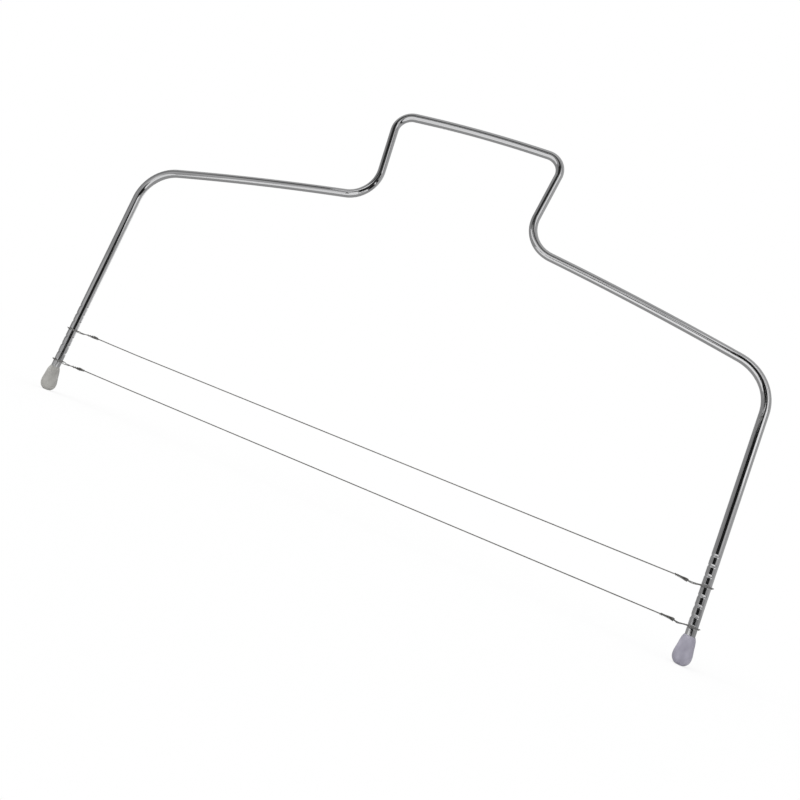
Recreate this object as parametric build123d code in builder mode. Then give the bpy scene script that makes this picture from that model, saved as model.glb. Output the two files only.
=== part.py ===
from build123d import *
from math import acos, atan2, cos, hypot, pi, sin, sqrt
import os

# Two-wire cake leveler: a bent round rod on two soft feet, with two taut cutting wires
# between its legs. Millimetres. The soles stand on Z = 0, +Z is up, the wires run along X
# and the frame is thin along Y. The origin is midway between the soles.

# Frame rod: heights and spacings are those of the corners before they are rounded
rod_diameter = 4.0
leg_spacing = 320.0
leg_height = 125.8
neck_base_spacing = 77.2
neck_base_rise = 23.5
handle_spacing = 87.2
neck_length = 46.0
shoulder_rise = 1.3
handle_rise = 1.5
corner_radius = 20.5
neck_base_radius = 15.5
handle_radius = 8.5

# Ring grooves on the legs: the lower wire rides in the lowest, the upper wire a few above it
groove_count = 8
groove_pitch = 4.3
groove_width = 1.5
groove_floor_width = 0.7
groove_depth = 0.35
upper_wire_groove_count = 4
cut_overrun = 0.5

# Feet
foot_height = 12.4
foot_diameter = 7.3
foot_lip_thickness = 0.65
foot_lip_chamfer = 0.5
sole_diameter = 3.2
sole_thickness = 3.4
foot_to_groove = 3.4

# Cutting wires, the eyes at their ends and the windings that close the eyes
wire_diameter = 0.4
eye_clearance = 0.15
eye_length = 8.0
eye_tail_length = 1.2
eye_knee_radius = 3.0
winding_turns = 3
winding_pitch = 1.6
winding_clearance = 0.04
wire_sides = 4
gap_steps_per_turn = 24

# Worked out from the above
rod_radius = rod_diameter / 2
wire_radius = wire_diameter / 2
leg_x = leg_spacing / 2
neck_base_x = neck_base_spacing / 2
neck_base_height = leg_height + neck_base_rise
handle_x = handle_spacing / 2
handle_height = neck_base_height + neck_length
foot_radius = foot_diameter / 2
mouth_radius = rod_radius + foot_lip_thickness
sole_radius = sole_diameter / 2
first_groove_height = foot_height + foot_to_groove
groove_heights = [first_groove_height + groove_pitch * step for step in range(groove_count)]
eye_radius = rod_radius + eye_clearance + wire_radius
winding_radius = wire_diameter + winding_clearance
half_span = leg_x - eye_length

os.makedirs("parts", exist_ok=True)


def finish(piece, name):
    piece.part.label = name
    export_step(piece.part, f"parts/{name}.step")


def square_to(path):
    """The plane square to a path at its start."""
    return Plane(origin=path @ 0, z_dir=path % 0)


def biarc(start, start_direction, end, end_direction):
    """Draw two arcs that leave and arrive in the given directions and join smoothly."""
    chord = end - start
    along = chord.dot(start_direction + end_direction)
    spread = 2 * (1 - start_direction.dot(end_direction))
    reach = (sqrt(along**2 + spread * chord.dot(chord)) - along) / spread
    first_corner = start + start_direction * reach
    last_corner = end - end_direction * reach
    joint = (first_corner + last_corner) / 2
    TangentArc(start, joint, tangent=start_direction)
    TangentArc(joint, end, tangent=(last_corner - first_corner).normalized())


def smallest_gap(coil):
    """Least gap of a winding to itself, from points at least half a turn apart."""
    count = gap_steps_per_turn * winding_turns
    points = [coil.position_at(step / count) for step in range(count + 1)]
    half_turn = gap_steps_per_turn // 2
    distances = [
        (points[near] - points[far]).length
        for near in range(count + 1)
        for far in range(near + half_turn, count + 1)
    ]
    return min(distances) - wire_diameter


# Frame rod: one rod swept along legs, shoulders, waisted neck and handle
def make_frame_rod():
    with BuildPart() as frame_rod:
        with BuildLine(Plane.XZ) as centreline:
            Line((leg_x, sole_thickness), (leg_x, leg_height))
            SagittaArc((leg_x, leg_height), (neck_base_x, neck_base_height), -shoulder_rise)
            Line((neck_base_x, neck_base_height), (handle_x, handle_height))
            mirror(about=Plane.YZ)
            SagittaArc((handle_x, handle_height), (-handle_x, handle_height), -handle_rise)
            corners, neck_bases, handle_corners = centreline.vertices().group_by(Axis.Z)[1:]
            fillet(corners, radius=corner_radius)
            fillet(neck_bases, radius=neck_base_radius)
            fillet(handle_corners, radius=handle_radius)
        with BuildSketch(Plane.XY.offset(sole_thickness)):
            with Locations((leg_x, 0)):
                Circle(rod_radius)
        sweep(path=centreline.wires()[0])
        for leg_axis_x in (-leg_x, leg_x):
            with BuildSketch(Plane.XZ):
                with Locations(*[(leg_axis_x + rod_radius, height) for height in groove_heights]):
                    Polygon(
                        (-groove_depth, -groove_floor_width / 2),
                        (0, -groove_width / 2),
                        (cut_overrun, -groove_width / 2),
                        (cut_overrun, groove_width / 2),
                        (0, groove_width / 2),
                        (-groove_depth, groove_floor_width / 2),
                        align=None,
                    )
            revolve(axis=Axis((leg_axis_x, 0, 0), (0, 0, 1)), mode=Mode.SUBTRACT)
    finish(frame_rod, "frame_rod")


# Feet: a ball with a flat sole, drawn up into a cone whose lip hugs the rod
def make_foot(name, foot_x):
    # The ball is cut flat where it is as wide as the sole
    ball_height = sqrt(foot_radius**2 - sole_radius**2)
    mouth_rise = foot_height - ball_height
    # Where the cone's flank leaves the ball
    flank_angle = atan2(mouth_rise, mouth_radius) - acos(foot_radius / hypot(mouth_radius, mouth_rise))
    flank_point = (foot_radius * cos(flank_angle), ball_height + foot_radius * sin(flank_angle))
    with BuildPart() as foot:
        with BuildSketch(Plane(origin=(foot_x, 0, 0), x_dir=(1, 0, 0), z_dir=(0, -1, 0))):
            with BuildLine():
                Polyline((0, sole_thickness), (0, 0), (sole_radius, 0))
                ThreePointArc((sole_radius, 0), (foot_radius, ball_height), flank_point)
                Polyline(
                    flank_point,
                    (mouth_radius, foot_height),
                    (rod_radius, foot_height),
                    (rod_radius, sole_thickness),
                    (0, sole_thickness),
                )
            make_face()
        revolve(axis=Axis((foot_x, 0, 0), (0, 0, 1)))
        mouth_edges = foot.edges().filter_by(GeomType.CIRCLE).group_by(Axis.Z)[-1]
        chamfer(mouth_edges.sort_by(SortBy.RADIUS)[-1], length=foot_lip_chamfer)
    finish(foot, name)


# Cutting wire: the taut span between the necks of its two eyes
def make_cutting_wire(name, height):
    with BuildPart() as cutting_wire:
        with BuildSketch(Plane.YZ.offset(-half_span)):
            with Locations((0, height)):
                Circle(wire_radius)
        extrude(amount=2 * half_span)
    finish(cutting_wire, name)


# Eye: a loop that rides round the leg in a groove, its two tails side by side at the neck.
# Local X runs from the leg's axis towards the span, in the plane given.
def make_eye(name, end_plane):
    knee_x = eye_length - eye_tail_length
    front_turn = acos(eye_radius / knee_x)
    back_turn = acos(eye_radius / hypot(knee_x, winding_radius)) + atan2(winding_radius, knee_x)
    front_tangent = (eye_radius * cos(front_turn), -eye_radius * sin(front_turn))
    back_tangent = (eye_radius * cos(back_turn), eye_radius * sin(back_turn))
    with BuildPart() as eye:
        with BuildLine(end_plane) as eye_path:
            FilletPolyline((eye_length, 0), (knee_x, 0), front_tangent, radius=eye_knee_radius)
            ThreePointArc(front_tangent, (-eye_radius, 0), back_tangent)
            wound_tail = ((knee_x, winding_radius), (eye_length, winding_radius))
            FilletPolyline(back_tangent, *wound_tail, radius=eye_knee_radius)
        with BuildSketch(square_to(eye_path.wires()[0])):
            RegularPolygon(wire_radius, wire_sides)
        sweep(path=eye_path.wires()[0], clean=False)
    finish(eye, name)


# Winding: the eye's second tail, wound round the end of the span
def make_winding(name, end_plane):
    turn_length = hypot(2 * pi * winding_radius, winding_pitch)
    axial_share = winding_pitch / turn_length
    round_share = 2 * pi * winding_radius / turn_length
    coil_start_x = eye_length + wire_diameter + winding_pitch / 2

    def direction(along, across, up):
        return end_plane.from_local_coords(Vector(along, across, up)) - end_plane.origin

    def coil_point(turns):
        across = winding_radius * cos(2 * pi * turns)
        up = winding_radius * sin(2 * pi * turns)
        return end_plane.from_local_coords(Vector(coil_start_x + winding_pitch * turns, across, up))

    def coil_direction(turns):
        return direction(axial_share, -round_share * sin(2 * pi * turns), round_share * cos(2 * pi * turns))

    tail_start = end_plane.from_local_coords(Vector(eye_length, winding_radius, 0))
    inboard = direction(1, 0, 0)
    tail_bend = tail_start + inboard * wire_diameter
    # The tail turns into the coil over its first quarter turn, then half turn follows half turn
    stops = [1 / 4 + half_turn / 2 for half_turn in range(2 * winding_turns)]
    with BuildPart() as winding:
        with BuildLine() as coil_path:
            Line(tail_start, tail_bend)
            biarc(tail_bend, inboard, coil_point(stops[0]), coil_direction(stops[0]))
            for first, last in zip(stops, stops[1:]):
                biarc(coil_point(first), coil_direction(first), coil_point(last), coil_direction(last))
            coil_end = coil_point(stops[-1])
            Line(coil_end, coil_end + coil_direction(stops[-1]) * wire_diameter)
        with BuildSketch(square_to(coil_path.wires()[0])):
            RegularPolygon(wire_radius, wire_sides)
        sweep(path=coil_path.wires()[0], clean=False)
    finish(winding, name)
    print(f"{name} least gap to itself {smallest_gap(coil_path.wires()[0]):.2f} mm")


make_frame_rod()
make_foot("left_foot", -leg_x)
make_foot("right_foot", leg_x)
for level, groove in (("lower", 0), ("upper", upper_wire_groove_count)):
    wire_height = groove_heights[groove]
    make_cutting_wire(f"{level}_cutting_wire", wire_height)
    for side_name, side in (("left", -1), ("right", 1)):
        wire_end = Plane(origin=(side * leg_x, 0, wire_height), x_dir=(-side, 0, 0), z_dir=(0, 0, 1))
        make_eye(f"{level}_{side_name}_eye", wire_end)
        make_winding(f"{level}_{side_name}_winding", wire_end)
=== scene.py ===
import bpy
import math
import numpy as np
from mathutils import Matrix, Vector


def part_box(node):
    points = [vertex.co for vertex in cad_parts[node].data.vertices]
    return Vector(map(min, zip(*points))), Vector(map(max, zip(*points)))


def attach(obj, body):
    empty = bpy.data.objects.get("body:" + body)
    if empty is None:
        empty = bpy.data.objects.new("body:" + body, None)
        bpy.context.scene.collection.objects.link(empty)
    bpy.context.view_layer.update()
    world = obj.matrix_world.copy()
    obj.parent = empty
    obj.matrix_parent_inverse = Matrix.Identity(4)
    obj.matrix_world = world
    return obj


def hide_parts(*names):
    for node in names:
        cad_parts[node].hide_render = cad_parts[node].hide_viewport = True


# Looks of a two-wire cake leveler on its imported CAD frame, in the same frame as the CAD.
# Sizes of the object are in millimetres, the studio round it is in Blender's metres.
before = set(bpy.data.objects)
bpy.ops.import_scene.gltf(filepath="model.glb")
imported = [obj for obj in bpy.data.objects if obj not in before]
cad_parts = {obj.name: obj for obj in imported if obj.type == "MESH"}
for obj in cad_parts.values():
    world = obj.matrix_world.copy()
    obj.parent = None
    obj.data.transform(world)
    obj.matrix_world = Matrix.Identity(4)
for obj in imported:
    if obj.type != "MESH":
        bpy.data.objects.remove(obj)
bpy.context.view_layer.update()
scene = bpy.context.scene
MM = 0.001
MM_PER_CM = 10
CLOSE = 1e-3


def node_box(node):
    """Lowest and highest corner of a CAD node at rest, in millimetres."""
    return [[round(value / MM, 2) for value in corner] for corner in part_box(node)]


def middle(box, axis):
    return (box[0][axis] + box[1][axis]) / 2


# Sizes that the frame gives. X, Y and Z pick a coordinate of a corner.
X, Y, Z = range(3)
foot_box = node_box("right_foot")
rod_box = node_box("frame_rod")
wire_box = node_box("lower_cutting_wire")
LEG_X = middle(foot_box, X)
FOOT_HEIGHT = foot_box[1][Z]
ROD_R = rod_box[1][X] - LEG_X
ROD_END_Z = rod_box[0][Z]
WIRE_R = (wire_box[1][Y] - wire_box[0][Y]) / 2
EYE_END = LEG_X - wire_box[1][X]
WIRES = {level: middle(node_box(f"{level}_cutting_wire"), Z) for level in ("lower", "upper")}

# The rod's corners before they are rounded, and its bends, as in the part's source
LEG_Z = 125.8
NECK_X, NECK_Z = 38.6, 149.3
BAR_X = 43.6
SHOULDER_RISE, BAR_RISE = 1.3, 1.5
BAR_Z = rod_box[1][Z] - ROD_R - BAR_RISE
CORNER_R, NECK_R, BAR_R = 20.5, 15.5, 8.5
ROD_SIDES = 56
FOOT_SIDES = 64
WIRE_SIDES = 12
COIL_SIDES = 10

# Ring grooves: the lower wire rides in the first and the upper one some grooves above it
GROOVE_COUNT = 8
GROOVES_BETWEEN_WIRES = 4
GROOVE_PITCH = (WIRES["upper"] - WIRES["lower"]) / GROOVES_BETWEEN_WIRES
GROOVE_Z = [WIRES["lower"] + GROOVE_PITCH * i for i in range(GROOVE_COUNT)]
GROOVE_DEPTH = 0.20
GROOVE_WIDTH = 1.7
# Rows of the rod's points across each groove, and on the stretch inside a foot
GROOVE_ROWS = np.linspace(-1.1, 1.1, 23)
ROWS_IN_FOOT = [6.0, 9.0, 12.0]
# Where the roller lifted, as a heading in degrees, with the half widths of plain rod and of the run-out
LIFT_HEADING, LIFT_PLAIN, LIFT_FADE = 48, 24, 30

# Span: drawn thicker than the wire, in fine steps near the legs
SPAN_R = 0.25
SPAN_FINE_STEP, SPAN_FINE_END, SPAN_STEP = 0.5, 24, 4.0

# Eyes: how far the turns spread outwards, tuck in and sit apart, and where that fades to the winding
EYE_R = 2.35
KNEE_X = 6.8
KNEE_FILLET_R = 3.0
KNEE_DEGREES = 3
EYE_STEPS = 120
EYE_SPREAD, EYE_TUCK, EYE_LIFT = 0.36, 0.10, 0.44
EYE_FADE_X, EYE_FADE_LENGTH = 6.0, 2.0

# Windings: how uneven they are, and how much fatter or slimmer than the coil's radius
COIL_R = 0.44
COIL_STEPS_PER_TURN = 20
COIL_UNEVEN, COIL_FAT, COIL_SLIM = 0.03, 0.14, 0.10
COIL_FAT_LENGTH, COIL_SLIM_FROM, COIL_SLIM_LENGTH = 0.9, 1.0, 2.0
COIL_LURCH = 0.25
LEAD_IN = 0.9


# Mesh helpers
def mesh_object(name, points, faces):
    mesh = bpy.data.meshes.new(name)
    mesh.from_pydata([tuple(p) for p in np.asarray(points) * MM], [], faces)
    mesh.update()
    mesh.polygons.foreach_set("use_smooth", [True] * len(mesh.polygons))
    piece = bpy.data.objects.new(name, mesh)
    scene.collection.objects.link(piece)
    return piece


def ring_faces(rings, sides, closed_end=True):
    """Faces between rings of points, with the first ring closed and the last one if asked."""
    faces = []
    for ring in range(rings - 1):
        near, far = ring * sides, (ring + 1) * sides
        for side in range(sides):
            beside = (side + 1) % sides
            faces.append((near + side, near + beside, far + beside, far + side))
    faces.append(tuple(range(sides))[::-1])
    if closed_end:
        faces.append(tuple(range((rings - 1) * sides, rings * sides)))
    return faces


def store(piece, name, kind, values):
    layer = piece.data.attributes.new(name, kind, "POINT")
    key = "vector" if kind == "FLOAT_VECTOR" else "value"
    layer.data.foreach_set(key, np.asarray(values, np.float32).ravel())


def store_place(piece, angle, along):
    """tube_place holds cosine and sine of the angle round a piece, and the way along it in cm."""
    place = np.empty((len(along), len(angle), 3))
    place[..., 0] = np.cos(angle)
    place[..., 1] = np.sin(angle)
    place[..., 2] = along[:, None] / MM_PER_CM
    store(piece, "tube_place", "FLOAT_VECTOR", place.reshape(-1, 3))


def unit(vectors):
    return vectors / np.linalg.norm(vectors, axis=1)[:, None]


def carried_along(ahead):
    """A vector square to each direction, turned as little as it can be from one to the next."""
    square = np.array([0.0, 0.0, 1.0]) if abs(ahead[0][2]) < 0.8 else np.array([0.0, 1.0, 0.0])
    found = np.zeros_like(ahead)
    for i, direction in enumerate(ahead):
        square = square - direction * square.dot(direction)
        square /= np.linalg.norm(square)
        found[i] = square
    return found


def tube(name, path, radii, sides, across=None):
    """A round tube along path. Its angles start from the plane of path and across, if given."""
    path = np.asarray(path, float)
    steps = np.linalg.norm(np.diff(path, axis=0), axis=1)
    along = np.concatenate([[0], np.cumsum(steps)])
    ahead = unit(np.gradient(path, axis=0))
    first = carried_along(ahead) if across is None else unit(np.cross(across, ahead))
    second = np.cross(ahead, first)
    angle = np.linspace(0, 2 * math.pi, sides, endpoint=False)
    radii = np.broadcast_to(radii, (len(path), sides))
    ring = np.cos(angle)[None, :, None] * first[:, None] + np.sin(angle)[None, :, None] * second[:, None]
    points = (path[:, None] + ring * radii[:, :, None]).reshape(-1, 3)
    piece = mesh_object(name, points, ring_faces(len(path), sides))
    store_place(piece, angle, along)
    return piece


# Plane paths. A run is a pair of functions of a share: the point there and the heading there.
def line_run(start, end):
    start, end = np.array(start, float), np.array(end, float)
    size = np.linalg.norm(end - start)
    return (lambda share: start + (end - start) * share), (lambda share: (end - start) / size)


def arc_run(start, end, rise):
    """A shallow arc from start to end that rises to the left of the travel."""
    start, end = np.array(start, float), np.array(end, float)
    chord = end - start
    size = np.linalg.norm(chord)
    along = chord / size
    left = np.array([-along[1], along[0]])
    radius = (size**2 / 4 + rise**2) / (2 * rise)
    half = math.asin(size / 2 / radius)
    centre = (start + end) / 2 - left * (radius - rise)

    def point(share):
        angle = half * (2 * share - 1)
        return centre + radius * (along * math.sin(angle) + left * math.cos(angle))

    def heading(share):
        angle = half * (2 * share - 1)
        return along * math.cos(angle) - left * math.sin(angle)

    return point, heading


def fillet_between(one, two, radius, left_turn):
    """The shares where a fillet leaves run one and joins run two, and its centre."""
    side = 1 if left_turn else -1

    def offset(run, share):
        heading = run[1](share)
        return run[0](share) + radius * side * np.array([-heading[1], heading[0]])

    leave, join, nudge, rounds = 1.0, 0.0, 1e-5, 30
    for _ in range(rounds):
        gap = offset(one, leave) - offset(two, join)
        leave_change = (offset(one, leave + nudge) - offset(one, leave)) / nudge
        join_change = (offset(two, join + nudge) - offset(two, join)) / nudge
        step = np.linalg.solve(np.column_stack([leave_change, -join_change]), -gap)
        leave, join = leave + step[0], join + step[1]
    return leave, join, offset(one, leave)


def arc_points(start, end, centre, degrees_each):
    """Points between start and end on the arc round centre."""
    first, last = start - centre, end - centre
    turn = math.atan2(first[0] * last[1] - first[1] * last[0], first.dot(last))
    count = max(2, int(abs(math.degrees(turn)) / degrees_each))
    points = []
    for i in range(1, count):
        cosine, sine = math.cos(turn * i / count), math.sin(turn * i / count)
        turned = np.array([cosine * first[0] - sine * first[1], sine * first[0] + cosine * first[1]])
        points.append(centre + turned)
    return points


def filleted(runs, fillets, stations, degrees_each=2.0):
    """Points along runs joined by fillets. stations holds, for each run, the shares kept on it."""
    joints = [fillet_between(runs[i], runs[i + 1], radius, left) for i, (radius, left) in enumerate(fillets)]
    starts = [0.0] + [join for _, join, _ in joints]
    ends = [leave for leave, _, _ in joints] + [1.0]
    margin = 1e-4
    points = []
    for i, (point, _) in enumerate(runs):
        inner = [share for share in stations[i] if starts[i] + margin < share < ends[i] - margin]
        points += [point(share) for share in [starts[i], *inner, ends[i]]]
        if i < len(joints):
            next_start = runs[i + 1][0](starts[i + 1])
            points += arc_points(point(ends[i]), next_start, joints[i][2], degrees_each)
    return np.array(points)


def rod_path():
    leg = LEG_Z - ROD_END_Z
    row_heights = np.concatenate([z + GROOVE_ROWS for z in GROOVE_Z] + [ROWS_IN_FOOT])
    upper_shares = np.linspace(0.38, 1, 12)
    leg_shares = sorted(set(np.round((row_heights - ROD_END_Z) / leg, 7)) | set(upper_shares))
    shoulder_shares, neck_shares, bar_shares = (np.linspace(0, 1, count) for count in (40, 12, 30))
    runs = [
        line_run((-LEG_X, ROD_END_Z), (-LEG_X, LEG_Z)),
        arc_run((-LEG_X, LEG_Z), (-NECK_X, NECK_Z), SHOULDER_RISE),
        line_run((-NECK_X, NECK_Z), (-BAR_X, BAR_Z)),
        arc_run((-BAR_X, BAR_Z), (BAR_X, BAR_Z), BAR_RISE),
        line_run((BAR_X, BAR_Z), (NECK_X, NECK_Z)),
        arc_run((NECK_X, NECK_Z), (LEG_X, LEG_Z), SHOULDER_RISE),
        line_run((LEG_X, LEG_Z), (LEG_X, ROD_END_Z)),
    ]
    shares = [
        leg_shares, shoulder_shares, neck_shares, bar_shares,
        neck_shares, shoulder_shares, sorted(1 - share for share in leg_shares),
    ]
    # Each bend's radius, and whether it turns left
    bends = [(CORNER_R, False), (NECK_R, True), (BAR_R, False)]
    flat = filleted(runs, bends + bends[::-1], shares)
    return np.column_stack([flat[:, 0], np.zeros(len(flat)), flat[:, 1]])


def soft_step(share):
    share = np.clip(share, 0, 1)
    return share * share * (3 - 2 * share)


def smooth_through(places, values, wanted):
    """Monotone cubic through the values at places, at the wanted places."""
    gaps = np.diff(places)
    chords = np.diff(values) / gaps
    slopes = np.zeros(len(places))
    for i in range(1, len(places) - 1):
        if chords[i - 1] * chords[i] > 0:
            before, after = 2 * gaps[i] + gaps[i - 1], gaps[i] + 2 * gaps[i - 1]
            slopes[i] = (before + after) / (before / chords[i - 1] + after / chords[i])
    slopes[0], slopes[-1] = chords[0], chords[-1]
    i = np.clip(np.searchsorted(places, wanted, side="right") - 1, 0, len(gaps) - 1)
    share = (wanted - places[i]) / gaps[i]
    rest = 1 - share
    return ((1 + 2 * share) * rest**2 * values[i] + share * rest**2 * gaps[i] * slopes[i]
            + share**2 * (3 - 2 * share) * values[i + 1] - share**2 * rest * gaps[i] * slopes[i + 1])


# Pieces
def make_rod():
    path = rod_path()
    on_leg = np.abs(np.abs(path[:, 0]) - LEG_X) < CLOSE
    groove = np.zeros(len(path))
    for z in GROOVE_Z:
        away = np.abs(path[:, 2] - z)
        dip = np.cos(math.pi * away / GROOVE_WIDTH) ** 2
        groove = np.maximum(groove, np.where(on_leg & (away < GROOVE_WIDTH / 2), dip, 0))
    # The rolled grooves go round each leg and run out where the roller lifted, at its front right
    angle = np.linspace(0, 2 * math.pi, ROD_SIDES, endpoint=False)
    across = -np.sign(path[:, :1]) * np.cos(angle)
    heading = np.degrees(np.arctan2(across, -np.sin(angle)))
    from_lift = np.abs((heading - LIFT_HEADING + 180) % 360 - 180)
    share = groove[:, None] * soft_step((from_lift - LIFT_PLAIN) / LIFT_FADE)
    rod = tube("chrome_rod", path, ROD_R - GROOVE_DEPTH * share, ROD_SIDES, across=(0, 1, 0))
    store(rod, "groove_share", "FLOAT", share)
    return rod


# Radius against height of a foot, from the sole's middle up the outside and over the lip
FOOT_OUTLINE = np.array([
    (0.0, 0.0), (0.8, 0.0), (1.25, 0.02), (1.75, 0.18), (2.35, 0.62), (2.90, 1.22), (3.30, 1.95),
    (3.53, 2.75), (3.62, 3.6), (3.61, 4.5), (3.52, 5.4), (3.38, 6.3), (3.22, 7.3), (3.09, 8.3), (2.97, 9.3),
    (2.83, 10.2), (2.66, 11.0), (2.46, 11.6), (2.27, 12.05), (2.13, 12.3), (2.05, 12.36), (2.0, 12.28),
    (1.98, 12.0), (1.98, 11.0),
])
FOOT_ROWS = 110
FOOT_SWELL, FOOT_SWELL_TOP = 0.008, 12
FOOT_LEAN_POWER = 1.4
SMALLEST_RING_R = 0.02


def make_foot(name, side, phase, lean):
    """A soft drop: rounded sole, ball, and a flank that thins to a lip round the rod."""
    size = np.concatenate([[0], np.cumsum(np.linalg.norm(np.diff(FOOT_OUTLINE, axis=0), axis=1))])
    rows = np.linspace(0, size[-1], FOOT_ROWS)
    radius = smooth_through(size, FOOT_OUTLINE[:, 0], rows)
    height = smooth_through(size, FOOT_OUTLINE[:, 1], rows)
    angle = np.linspace(0, 2 * math.pi, FOOT_SIDES, endpoint=False)
    # Cast soft plastic is never quite round, and each foot sits a little askew
    bulge = np.sin(math.pi * np.clip(height / FOOT_SWELL_TOP, 0, 1))
    swell = 1 + FOOT_SWELL * np.sin(2 * angle + phase)[None, :] * bulge[:, None]
    reach = np.maximum(radius[:, None], SMALLEST_RING_R) * np.minimum(swell, 1.0)
    shift = -side * lean * np.clip((FOOT_HEIGHT - height) / FOOT_HEIGHT, 0, 1) ** FOOT_LEAN_POWER
    points = np.stack([
        side * LEG_X + shift[:, None] + reach * np.cos(angle), reach * np.sin(angle),
        np.broadcast_to(height[:, None], reach.shape)], axis=-1)
    foot = mesh_object(name, points.reshape(-1, 3), ring_faces(FOOT_ROWS, FOOT_SIDES, closed_end=False))
    store_place(foot, angle, height)
    return foot


# How far each wire end hangs below its groove's level, against the distance from the leg's axis
HANG_AT = np.array([0.0, 2.4, 4.0, 6.0, 8.0, 10.0, 13.0, 17.0, 40.0])
HANG_END = 39.9
HANG = {
    "lower_left": np.array([0, 0.10, 0.45, 0.40, 0.30, 0.10, 0.0, -0.10, 0]),
    "lower_right": np.array([0, 0.05, 0.25, 0.55, 0.10, 0.0, 0.0, 0, 0]),
    "upper_left": np.array([0, 0.0, 0.20, 0.15, -0.05, -0.25, -0.40, -0.30, 0]),
    "upper_right": np.array([0, 0.15, 0.50, 0.60, 0.38, 0.18, 0.0, 0, 0]),
}


def end_to_world(points, end, side, wire_z):
    """From a wire end's own frame (x inboard from the leg's axis) to the part's."""
    points = np.asarray(points, float)
    drop = smooth_through(HANG_AT, HANG[end], np.clip(points[:, 0], 0, HANG_END))
    height = wire_z + points[:, 2] - drop
    return np.column_stack([side * (LEG_X - points[:, 0]), -side * points[:, 1], height])


def make_span(level, wire_z):
    near = np.arange(EYE_END, SPAN_FINE_END, SPAN_FINE_STEP)
    inboard = np.concatenate([near, np.arange(SPAN_FINE_END, LEG_X, SPAN_STEP)])
    straight = np.column_stack([inboard, 0 * inboard, 0 * inboard])
    left_half = end_to_world(straight, f"{level}_left", -1, wire_z)
    right_half = end_to_world(straight, f"{level}_right", 1, wire_z)
    return tube(f"{level}_span", np.vstack([left_half, right_half[::-1]]), SPAN_R, WIRE_SIDES)


def make_eye(end, side, wire_z):
    """Two close turns round the leg, whose tails run side by side to the winding."""
    front = math.acos(EYE_R / KNEE_X)
    back = math.acos(EYE_R / math.hypot(KNEE_X, COIL_R)) + math.atan2(COIL_R, KNEE_X)
    strand_shares = np.linspace(0, 1, 12)
    tail = line_run((EYE_END, 0), (KNEE_X, 0))
    strand = line_run((KNEE_X, 0), (EYE_R * math.cos(front), -EYE_R * math.sin(front)))
    turns_left = strand[1](0)[1] > 0
    knee = [(KNEE_FILLET_R, turns_left)]
    points = list(filleted([tail, strand], knee, [[], strand_shares], KNEE_DEGREES)[:-1])
    before = len(points)
    two_turns = 4 * math.pi - front - back
    spread_start_share, spread_share, tuck_share = 0.15, 0.7, 0.2
    for i in range(EYE_STEPS + 1):
        share = i / EYE_STEPS
        angle = -front - two_turns * share
        reach = EYE_R + EYE_SPREAD * soft_step((share - spread_start_share) / spread_share)
        reach -= EYE_TUCK * soft_step(share / tuck_share) * (1 - share)
        points.append(np.array([reach * math.cos(angle), reach * math.sin(angle)]))
    after = len(points)
    strand = line_run(points[-1], (KNEE_X, COIL_R))
    tail = line_run((KNEE_X, COIL_R), (EYE_END, COIL_R))
    knee = [(KNEE_FILLET_R, True)]
    points += list(filleted([strand, tail], knee, [strand_shares, []], KNEE_DEGREES)[1:])
    flat = np.array(points)
    # The first turn sits low and the second high, and so do their tails up to the winding
    order = np.concatenate([np.zeros(before), np.linspace(0, 1, after - before), np.ones(len(flat) - after)])
    fade = 1 - soft_step((flat[:, 0] - EYE_FADE_X) / EYE_FADE_LENGTH)
    lift = EYE_LIFT * (soft_step(order) - 0.5) * fade
    path = end_to_world(np.column_stack([flat, lift]), end, side, wire_z)
    return tube(f"{end}_loop", path, WIRE_R, WIRE_SIDES)


def make_winding(end, side, wire_z, start, turns, pitches, fattest_at, phase):
    """The wound tail: close and open turns, fattest where it was pulled tight."""
    total = sum(turns)
    turn = np.linspace(0, total, int(total * COIL_STEPS_PER_TURN) + 1)
    edges = np.concatenate([[0], np.cumsum(turns)])
    pitch = np.interp(turn, (edges[:-1] + edges[1:]) / 2, pitches)
    along = start + np.concatenate([[0], np.cumsum((pitch[1:] + pitch[:-1]) / 2 * np.diff(turn))])
    away = np.abs(along - fattest_at)
    # The rates don't fit a whole turn, so that no two turns are alike
    uneven = COIL_UNEVEN * np.sin(turn * 2.3 + phase) * np.sin(turn * 0.9 + 2 * phase)
    fat = COIL_FAT * np.exp(-(away / COIL_FAT_LENGTH) ** 2)
    slim = COIL_SLIM * soft_step((away - COIL_SLIM_FROM) / COIL_SLIM_LENGTH)
    radius = COIL_R + uneven + fat - slim
    angle = 2 * math.pi * turn + COIL_LURCH * np.sin(turn * 1.7 + phase)
    angle -= angle[0]
    points = np.column_stack([along, radius * np.cos(angle), radius * np.sin(angle)])
    # Where the coil starts beyond the eye, the eye's tail runs on to it
    if start > EYE_END:
        points = np.vstack([[EYE_END - LEAD_IN, COIL_R, 0.0], points])
    return tube(f"{end}_wrap", end_to_world(points, end, side, wire_z), WIRE_R, COIL_SIDES)


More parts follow.
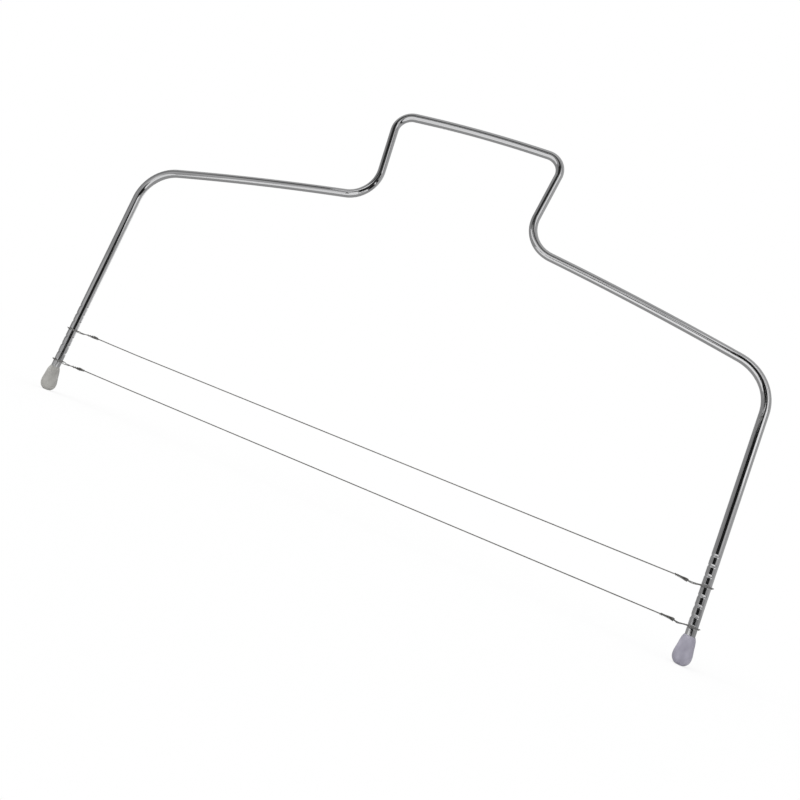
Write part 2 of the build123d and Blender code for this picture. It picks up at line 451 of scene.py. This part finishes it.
# Materials
class Graph:
    """The node tree of a new material or world, with short calls for the nodes used here."""

    def __init__(self, owner):
        owner.use_nodes = True
        self.tree = owner.node_tree
        self.tree.nodes.clear()

    def add(self, kind, **settings):
        node = self.tree.nodes.new(kind)
        for key, value in settings.items():
            setattr(node, key, value)
        return node

    def link(self, output, socket):
        self.tree.links.new(output, socket)

    def set_or_link(self, socket, value):
        if isinstance(value, (int, float)):
            socket.default_value = value
        elif isinstance(value, tuple):
            socket.default_value = (*value, 1)
        else:
            self.link(value, socket)

    def attribute(self, name):
        return self.add("ShaderNodeAttribute", attribute_name=name)

    def scaled(self, vector, scale):
        node = self.add("ShaderNodeMapping")
        node.inputs["Scale"].default_value = scale
        self.link(vector, node.inputs["Vector"])
        return node.outputs["Vector"]

    def noise(self, vector, detail, rough, scale=1.0):
        node = self.add("ShaderNodeTexNoise")
        node.inputs["Scale"].default_value = scale
        node.inputs["Detail"].default_value = detail
        node.inputs["Roughness"].default_value = rough
        self.link(vector, node.inputs["Vector"])
        return node.outputs["Fac"]

    def ramp(self, value, stops):
        node = self.add("ShaderNodeValToRGB")
        ramp = node.color_ramp
        while len(ramp.elements) < len(stops):
            ramp.elements.new(0.5)
        for element, (place, colour) in zip(ramp.elements, stops):
            element.position = place
            element.color = (*colour, 1)
        self.link(value, node.inputs["Fac"])
        return node.outputs["Color"]

    def spread(self, value, low, high, new_low, new_high):
        """Map the range from low to high onto the range from new_low to new_high."""
        node = self.add("ShaderNodeMapRange")
        numbers = (low, high, new_low, new_high)
        for key, number in zip(("From Min", "From Max", "To Min", "To Max"), numbers):
            node.inputs[key].default_value = number
        self.link(value, node.inputs["Value"])
        return node.outputs["Result"]

    def maths(self, operation, one, two):
        node = self.add("ShaderNodeMath", operation=operation)
        self.set_or_link(node.inputs[0], one)
        self.set_or_link(node.inputs[1], two)
        return node.outputs["Value"]

    def mix(self, share, one, two):
        node = self.add("ShaderNodeMix", data_type="RGBA")
        self.link(share, node.inputs["Factor"])
        # Inputs 6 and 7 are the two colours, and output 2 is the mixed one
        self.set_or_link(node.inputs[6], one)
        self.set_or_link(node.inputs[7], two)
        return node.outputs[2]

    def bump(self, height, strength, distance, after=None):
        node = self.add("ShaderNodeBump")
        node.inputs["Strength"].default_value = strength
        node.inputs["Distance"].default_value = distance
        self.link(height, node.inputs["Height"])
        if after is not None:
            self.link(after, node.inputs["Normal"])
        return node.outputs["Normal"]


def new_material(name):
    material = bpy.data.materials.new(name)
    graph = Graph(material)
    output = graph.add("ShaderNodeOutputMaterial")
    shader = graph.add("ShaderNodeBsdfPrincipled")
    graph.link(shader.outputs["BSDF"], output.inputs["Surface"])
    return material, graph, shader.inputs


def rod_material():
    material, graph, shader = new_material("bright_rod")
    place = graph.attribute("tube_place").outputs["Vector"]
    groove = graph.attribute("groove_share").outputs["Fac"]
    # Drawing lines run the rod's length; polish leaves broad, faint cloudiness over them
    lines = graph.noise(graph.scaled(place, (9.0, 9.0, 0.35)), detail=4.0, rough=0.6)
    fine_lines = graph.noise(graph.scaled(place, (26.0, 26.0, 1.6)), detail=2.0, rough=0.5)
    cloud = graph.noise(graph.scaled(place, (1.2, 1.2, 1.1)), detail=3.0, rough=0.5)
    dark, bright, brightest = (0.70, 0.70, 0.71), (0.80, 0.80, 0.81), (0.86, 0.86, 0.86)
    tone = graph.ramp(lines, [(0.30, dark), (0.55, bright), (0.75, brightest)])
    groove_tone = (0.72, 0.72, 0.725)
    tone = graph.mix(graph.spread(groove, 0.0, 1.0, 0.0, 0.5), tone, groove_tone)
    graph.link(tone, shader["Base Color"])
    shader["Metallic"].default_value = 1.0
    rough = graph.spread(cloud, 0.3, 0.7, 0.05, 0.12)
    rough = graph.maths("ADD", rough, graph.spread(groove, 0.0, 0.6, 0.0, 0.24))
    rough = graph.maths("ADD", rough, graph.spread(lines, 0.45, 0.8, 0.0, 0.06))
    graph.link(rough, shader["Roughness"])
    relief = graph.bump(lines, strength=0.10, distance=0.00004)
    relief = graph.bump(fine_lines, strength=0.06, distance=0.00002, after=relief)
    graph.link(relief, shader["Normal"])
    return material


def wire_material(name, base, dark):
    material, graph, shader = new_material(name)
    place = graph.attribute("tube_place").outputs["Vector"]
    mottle = graph.noise(graph.scaled(place, (1.0, 1.0, 7.0)), detail=3.0, rough=0.6)
    lines = graph.noise(graph.scaled(place, (8.0, 8.0, 2.0)), detail=2.0, rough=0.5)
    graph.link(graph.ramp(mottle, [(0.32, dark), (0.62, base)]), shader["Base Color"])
    shader["Metallic"].default_value = 1.0
    graph.link(graph.spread(mottle, 0.3, 0.7, 0.38, 0.22), shader["Roughness"])
    graph.link(graph.bump(lines, strength=0.25, distance=0.00002), shader["Normal"])
    return material


def foot_material(name, base, deep, pale):
    material, graph, shader = new_material(name)
    place = graph.attribute("tube_place").outputs["Vector"]
    coordinates = graph.add("ShaderNodeTexCoord").outputs["Object"]
    cloud = graph.noise(graph.scaled(place, (1.0, 1.0, 1.6)), detail=2.0, rough=0.5)
    grain = graph.noise(coordinates, scale=2600.0, detail=3.0, rough=0.6)
    dust = graph.noise(coordinates, scale=420.0, detail=4.0, rough=0.65)
    tone = graph.ramp(cloud, [(0.30, deep), (0.52, base), (0.75, pale)])
    tone = graph.mix(graph.spread(dust, 0.62, 0.80, 0.0, 0.35), tone, deep)
    graph.link(tone, shader["Base Color"])
    graph.link(graph.spread(dust, 0.3, 0.7, 0.42, 0.58), shader["Roughness"])
    shader["IOR"].default_value = 1.45
    shader["Specular IOR Level"].default_value = 0.35
    shader["Subsurface Weight"].default_value = 0.25
    shader["Subsurface Radius"].default_value = (1.0, 0.95, 1.0)
    shader["Subsurface Scale"].default_value = 0.0015
    shader["Sheen Weight"].default_value = 0.08
    relief = graph.bump(grain, strength=0.12, distance=0.00006)
    relief = graph.bump(dust, strength=0.10, distance=0.00012, after=relief)
    graph.link(relief, shader["Normal"])
    return material


# The object
def dress(piece, material, body, slot_name, *nodes):
    piece.data.materials.append(material)
    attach(piece, body)
    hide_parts(*nodes)


dress(make_rod(), rod_material(), "frame", "bright_rod", "frame_rod")
left_grey = foot_material(
    "foot_warm_grey", base=(0.405, 0.40, 0.38), deep=(0.33, 0.325, 0.31), pale=(0.465, 0.46, 0.44))
right_grey = foot_material(
    "foot_lilac_grey", base=(0.335, 0.325, 0.385), deep=(0.275, 0.265, 0.32), pale=(0.40, 0.39, 0.455))
left_foot = make_foot("left_drop_foot", side=-1, phase=0.6, lean=1.1)
right_foot = make_foot("right_drop_foot", side=1, phase=2.1, lean=0.6)
dress(left_foot, left_grey, "frame", "foot_plastic", "left_foot")
dress(right_foot, right_grey, "frame", "foot_plastic", "right_foot")

span_steel = wire_material("taut_wire", base=(0.50, 0.49, 0.47), dark=(0.28, 0.275, 0.265))
loop_steel = wire_material("loop_wire", base=(0.56, 0.555, 0.54), dark=(0.30, 0.298, 0.29))
wrap_steel = wire_material("wound_wire", base=(0.48, 0.475, 0.46), dark=(0.18, 0.178, 0.17))
# Start, turns and their pitches, where it is fattest, and unevenness of each winding
WINDINGS = {
    "lower_left": (9.0, (1.6, 5.5, 1.5), (1.50, 0.46, 0.80), 13.3, 0.4),
    "lower_right": (7.5, (3.5, 3.5, 4.0), (0.43, 0.48, 0.62), 7.9, 1.9),
    "upper_left": (8.8, (1.6, 5.5, 1.0), (1.60, 0.46, 0.60), 13.2, 3.1),
    "upper_right": (7.3, (4.0, 3.5, 3.0), (0.43, 0.48, 0.66), 7.8, 4.4),
}
for level, wire_z in WIRES.items():
    body = f"{level}_wire"
    dress(make_span(level, wire_z), span_steel, body, "cutting_wire", f"{level}_cutting_wire")
    for side_name, side in (("left", -1), ("right", 1)):
        end = f"{level}_{side_name}"
        dress(make_eye(end, side, wire_z), loop_steel, body, "cutting_wire", f"{end}_eye")
        winding = make_winding(end, side, wire_z, *WINDINGS[end])
        dress(winding, wrap_steel, body, "cutting_wire", f"{end}_winding")

# Camera, fitted to the rod, the wires and the feet in the photograph
camera_data = bpy.data.cameras.new("camera")
camera_data.sensor_width = 36.0
camera_data.lens = 27.0
camera_data.clip_start = 0.01
camera = bpy.data.objects.new("camera", camera_data)
scene.collection.objects.link(camera)
camera.matrix_world = Matrix((
    (0.9149, -0.35057, 0.20015, 0.06816),
    (0.1435, -0.181, -0.97296, -0.26945),
    (0.37731, 0.91888, -0.11529, 0.02762),
    (0, 0, 0, 1),
))
scene.camera = camera

# Studio: how bright the world lights and looks, and how much of the floor's white is its own
WORLD_FILL, WORLD_SEEN = 0.78, 1.0
FLOOR_REACH = 30.0
FLOOR_GREY = 0.95
FLOOR_GLOW_SHARE = 0.75

# The room that the metal shows: its front, back, half width and height, and the height of floor sheets
ROOM_FRONT, ROOM_BACK, ROOM_SIDE, ROOM_TOP = -0.46, 1.6, 2.0, 1.1
ROOM_FLOOR = 0.0004
SHEET_SIDE = 0.2
# Cards hung on the front wall stand just before it, and those for the stripes nearer the object
HUNG_Y = ROOM_FRONT + 0.001
OVER_CAMERA_Y = ROOM_FRONT + 0.01
STRIPE_Y = -0.25
KERB_Y = -0.20
# Shelves hide the dark card from the handle bar and the right shoulder
SHELF_Z, SHELF_SLOPE = 0.107, 0.28
FLAP_AWAY = 0.02


def seen_as_background(graph):
    """1 where the ray comes from the camera, a mirror or glass."""
    paths = graph.add("ShaderNodeLightPath")
    direct = graph.maths("MAXIMUM", paths.outputs["Is Camera Ray"], paths.outputs["Is Glossy Ray"])
    return graph.maths("MAXIMUM", direct, paths.outputs["Is Transmission Ray"])


def make_world():
    world = bpy.data.worlds.new("studio")
    scene.world = world
    graph = Graph(world)
    output = graph.add("ShaderNodeOutputWorld")
    background = graph.add("ShaderNodeBackground")
    background.inputs["Color"].default_value = (1, 1, 1, 1)
    strength = graph.spread(seen_as_background(graph), 0.0, 1.0, WORLD_FILL, WORLD_SEEN)
    graph.link(strength, background.inputs["Strength"])
    graph.link(background.outputs["Background"], output.inputs["Surface"])


def make_sheet(name, corners, material):
    """Plain four-cornered leaves in one mesh of the studio, in metres."""
    mesh = bpy.data.meshes.new(name)
    mesh.from_pydata(corners, [], [tuple(range(i, i + 4)) for i in range(0, len(corners), 4)])
    mesh.materials.append(material)
    sheet = bpy.data.objects.new(name, mesh)
    scene.collection.objects.link(sheet)
    return sheet


def make_floor():
    material = bpy.data.materials.new("floor_white")
    graph = Graph(material)
    output = graph.add("ShaderNodeOutputMaterial")
    diffuse = graph.add("ShaderNodeBsdfDiffuse")
    diffuse.inputs["Color"].default_value = (FLOOR_GREY, FLOOR_GREY, FLOOR_GREY, 1)
    glow = graph.add("ShaderNodeEmission")
    blend = graph.add("ShaderNodeMixShader")
    graph.link(graph.maths("MULTIPLY", seen_as_background(graph), FLOOR_GLOW_SHARE), blend.inputs["Fac"])
    graph.link(diffuse.outputs["BSDF"], blend.inputs[1])
    graph.link(glow.outputs["Emission"], blend.inputs[2])
    graph.link(blend.outputs["Shader"], output.inputs["Surface"])
    make_sheet("floor", level_leaf(0.0, -FLOOR_REACH, FLOOR_REACH, -FLOOR_REACH, FLOOR_REACH), material)


def make_card(name, corners, grey):
    """A plain card of the studio, seen only in the metal. Four corners make each of its leaves."""
    material = bpy.data.materials.new(name)
    graph = Graph(material)
    output = graph.add("ShaderNodeOutputMaterial")
    glow = graph.add("ShaderNodeEmission")
    glow.inputs["Color"].default_value = (grey, grey, grey, 1)
    graph.link(glow.outputs["Emission"], output.inputs["Surface"])
    card = make_sheet(name, corners, material)
    card.visible_camera = False
    card.visible_diffuse = False
    card.visible_shadow = False
    card.visible_transmission = False


def wall(start, end, z0, z1):
    """An upright leaf over the floor line from start to end."""
    return [(*start, z0), (*end, z0), (*end, z1), (*start, z1)]


def upright(y, x0, x1, z0, z1):
    return wall((x0, y), (x1, y), z0, z1)


def level_leaf(z, x0, x1, y0, y1):
    return [(x0, y0, z), (x1, y0, z), (x1, y1, z), (x0, y1, z)]


def shelf(rim):
    """Leaves that rise away from the right leg. rim holds headings in degrees, near and far reaches."""
    leaves = []
    for (one, one_near, one_far), (two, two_near, two_far) in zip(rim, rim[1:]):
        for heading, reach in ((one, one_near), (two, two_near), (two, two_far), (one, one_far)):
            turn = math.radians(heading)
            height = SHELF_Z + SHELF_SLOPE * reach
            leaves.append((LEG_X * MM + reach * math.sin(turn), -reach * math.cos(turn), height))
    return leaves


def flap(middle_z, corners):
    """A small leaf by the left neck base, edge on to the handle bar. Its corners are x and height."""
    lean = FLAP_AWAY / (BAR_Z * MM - middle_z)
    return [(x, (z - middle_z) * lean - FLAP_AWAY, z) for x, z in corners]


# Each wing stands edge on to one leg, and widens the dark stripe in the other
right_wing = wall((0.213, -0.30), (0.175, -0.09), 0.0, 0.20)
near_right_wing = wall((0.225, -0.113), (0.180, -0.035), 0.0, 0.17)
left_wing = wall((-0.095, -0.179), (-0.060, -0.275), 0.0, 0.20)
# The flaps carry the neck's dark stripe down into its left base, and the shoulder's pale one beside it
upper_dark_flap = flap(0.16, [(-0.047, 0.152), (-0.024, 0.145), (-0.0225, 0.169), (-0.040, 0.169)])
lower_dark_flap = flap(0.118, [(-0.035, 0.128), (-0.0224, 0.1385), (-0.010, 0.110), (-0.020, 0.098)])
pale_flap = flap(0.14, [(-0.0555, 0.145), (-0.0465, 0.147), (-0.0345, 0.127), (-0.052, 0.134)])
far_rim = [
    (-83, 0.118, 0.24), (-78, 0.110, 0.255), (-66, 0.095, 0.265), (-54, 0.076, 0.265), (-45, 0.055, 0.24),
]
near_rim = [(-45, 0.055, 0.20), (-36, 0.045, 0.19), (-24, 0.045, 0.18), (-19, 0.045, 0.18)]

# Name, leaves and grey of each card
CARDS = [
    ("dark_card", upright(STRIPE_Y, -0.07, 0.205, 0.0, 0.19), 0.01),
    ("dark_wings", right_wing + near_right_wing + left_wing, 0.01),
    ("dark_over_camera", upright(OVER_CAMERA_Y, -0.50, 0.14, 0.36, 0.56), 0.02),
    ("bright_window", upright(OVER_CAMERA_Y, 0.25, 0.75, 0.36, 0.62), 0.80),
    ("dark_kerb", upright(KERB_Y, -0.02, 0.20, 0.0, 0.012), 0.01),
    ("left_kerb", upright(KERB_Y, -0.50, -0.07, 0.0, 0.025), 0.40),
    ("right_kerb", upright(KERB_Y, 0.20, 0.50, 0.0, 0.025), 0.22),
    ("far_shelf", shelf(far_rim), 0.78),
    ("near_shelf", shelf(near_rim), 0.62),
    ("right_patch", upright(STRIPE_Y, 0.220, 0.46, 0.125, 0.22), 0.95),
    ("right_patch_low", upright(STRIPE_Y, 0.220, 0.46, 0.06, 0.125), 0.50),
    ("front_low", upright(HUNG_Y, -0.65, -0.05, 0.0, 0.14), 0.43),
    ("front_left_mid", upright(HUNG_Y, -0.65, -0.30, 0.14, 0.30), 0.33),
    ("front_right_mid", upright(HUNG_Y, 0.05, 0.32, 0.22, 0.40), 0.62),
    ("front_left", upright(ROOM_FRONT, -ROOM_SIDE, -0.3, 0.0, ROOM_TOP), 0.20),
    ("front_middle", upright(ROOM_FRONT, -0.3, 0.0, 0.0, 0.36), 0.28),
    ("front_top", upright(ROOM_FRONT, -0.3, 0.2, 0.36, ROOM_TOP), 0.34),
    ("front_right_low", upright(ROOM_FRONT, 0.0, ROOM_SIDE, 0.0, 0.36), 0.34),
    ("front_right", upright(ROOM_FRONT, 0.2, ROOM_SIDE, 0.36, ROOM_TOP), 0.24),
    ("left_wall", wall((-1.4, ROOM_FRONT), (-0.45, ROOM_BACK), 0.0, ROOM_TOP), 0.27),
    ("right_wall", wall((1.4, ROOM_FRONT), (0.45, ROOM_BACK), 0.0, ROOM_TOP), 0.40),
    ("ceiling", level_leaf(ROOM_TOP, -ROOM_SIDE, ROOM_SIDE, ROOM_FRONT, ROOM_BACK), 0.42),
    ("floor_left", level_leaf(ROOM_FLOOR, -ROOM_SIDE, -SHEET_SIDE, ROOM_FRONT, ROOM_BACK), 0.29),
    ("floor_right", level_leaf(ROOM_FLOOR, SHEET_SIDE, ROOM_SIDE, ROOM_FRONT, ROOM_BACK), 0.28),
    ("floor_behind", level_leaf(ROOM_FLOOR, -SHEET_SIDE, SHEET_SIDE, -0.04, ROOM_BACK), 0.31),
    ("sheet", level_leaf(ROOM_FLOOR, -SHEET_SIDE, 0.04, ROOM_FRONT, -0.05), 0.80),
    ("sheet_right", level_leaf(ROOM_FLOOR, 0.04, SHEET_SIDE, ROOM_FRONT, -0.04), 0.90),
    ("dark_flaps", upper_dark_flap + lower_dark_flap, 0.02),
    ("pale_flap", pale_flap, 0.85),
]


def make_lamp(name, towards, strength, softness):
    """A sun whose disc is softness degrees wide. The metal doesn't show it."""
    data = bpy.data.lights.new(name, "SUN")
    data.energy = strength
    data.angle = math.radians(softness)
    lamp = bpy.data.objects.new(name, data)
    scene.collection.objects.link(lamp)
    lamp.rotation_mode = "QUATERNION"
    lamp.rotation_quaternion = Vector(towards).to_track_quat("-Z", "Y")
    lamp.visible_glossy = False


make_world()
make_floor()
for card_name, leaves, grey in CARDS:
    make_card(card_name, leaves, grey)
make_lamp("soft_key", towards=(0.45, 0.55, -1.0), strength=1.05, softness=50)

# View
scene.view_settings.view_transform = "Standard"
